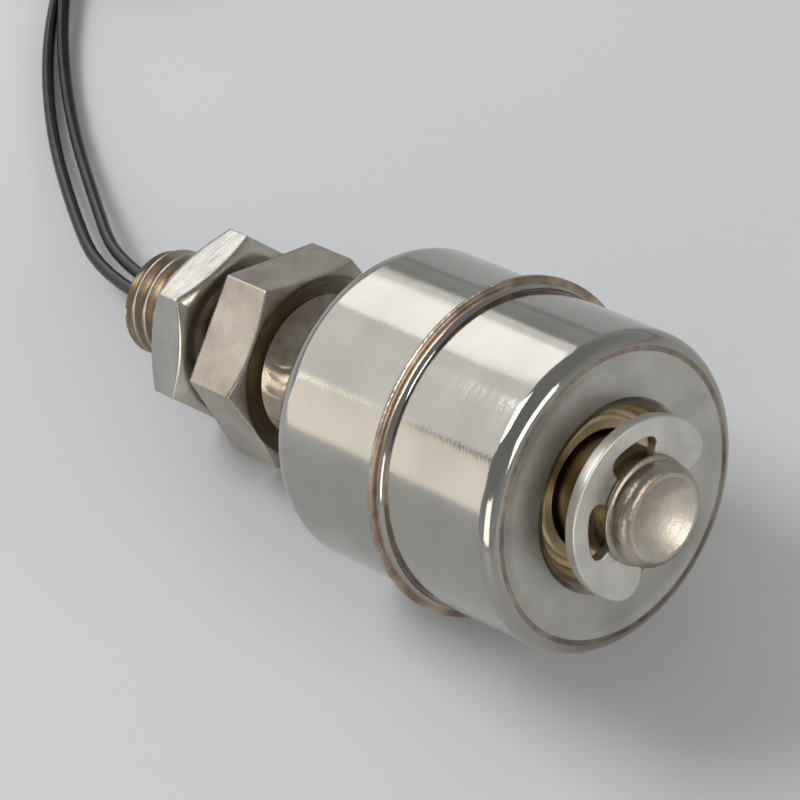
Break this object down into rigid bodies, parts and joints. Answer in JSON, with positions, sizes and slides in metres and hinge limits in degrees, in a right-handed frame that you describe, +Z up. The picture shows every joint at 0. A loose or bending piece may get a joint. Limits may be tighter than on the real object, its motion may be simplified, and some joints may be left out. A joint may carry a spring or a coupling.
{
  "type": "float level switch",
  "caption": "Small stainless steel float level switch: cylindrical float sliding on a stem with a retaining clip, hexagon head, threaded shank, locknut and leads.",
  "frame": {"origin": "on the surface the switch lies on, under the middle of the switch without its leads", "axes": "+X along the stem's level direction towards its tip, +Z up, +Y to the left of the tip's direction"},
  "size_m": [0.1144, 0.0695, 0.0329],
  "materials": {
    "turned_steel": "turned and brushed stainless steel, warm grey",
    "stem_steel": "turned stainless steel with fine lathe lines",
    "weld_steel": "weld bead in stainless steel, rippled, straw tinted",
    "nut_steel": "bright stainless steel, scratched flats",
    "clip_steel": "stamped spring stainless steel, tumbled satin",
    "cup_steel": "deep-drawn stainless steel, mirror polished sides, satin end faces",
    "seam_steel": "welded stainless steel seam, heat tinted",
    "bore_tube_steel": "thin stainless steel tube, heat tinted at its flanges",
    "magnet_ferrite": "sintered ferrite, dark grey",
    "washer_steel": "spring steel",
    "reed_glass": "greenish sealed glass",
    "reed_metal": "nickel-iron wire",
    "sleeve_plastic": "heat-shrink sleeve",
    "solder": "solder",
    "potting_resin": "black potting resin",
    "lead_insulation": "black glossy lead insulation",
    "tie_plastic": "black plastic twist tie",
    "tinned_copper": "tinned copper strands"
  },
  "bodies": {
    "switch_body": {"threaded_body": "turned_steel", "stem_tube": "stem_steel", "weld_collar": "weld_steel", "e_clip": "clip_steel", "reed_glass": "reed_glass", "reed_blade_near": "reed_metal", "reed_blade_far": "reed_metal", "reed_sleeve": "sleeve_plastic", "lead_a_inside": "lead_insulation", "lead_b_inside": "lead_insulation", "solder_near": "solder", "solder_far": "solder", "potting": "potting_resin", "lead_a_run": "lead_insulation", "lead_b_run": "lead_insulation", "lead_a_tail": "lead_insulation", "lead_b_tail": "lead_insulation", "lead_coil": "lead_insulation", "coil_tie": "tie_plastic", "lead_a_strands": "tinned_copper", "lead_b_strands": "tinned_copper"},
    "float": {"float_front_cup": "cup_steel", "float_rear_cup": "cup_steel", "float_seam": "seam_steel", "float_bore_tube": "bore_tube_steel", "ring_magnet": "magnet_ferrite", "magnet_washer_front": "washer_steel", "magnet_washer_rear": "washer_steel"},
    "nut": {"locknut": "nut_steel"}
  },
  "joints": [
    {"name": "float_slide", "type": "slide", "parent": "switch_body", "child": "float", "axis": [0.972, 0, 0.235], "range_m": [-0.0084, 0.0023]},
    {"name": "locknut_travel", "type": "slide", "parent": "switch_body", "child": "nut", "axis": [0.972, 0, 0.235], "range_m": [-0.0075, 0.0032]}
  ]
}
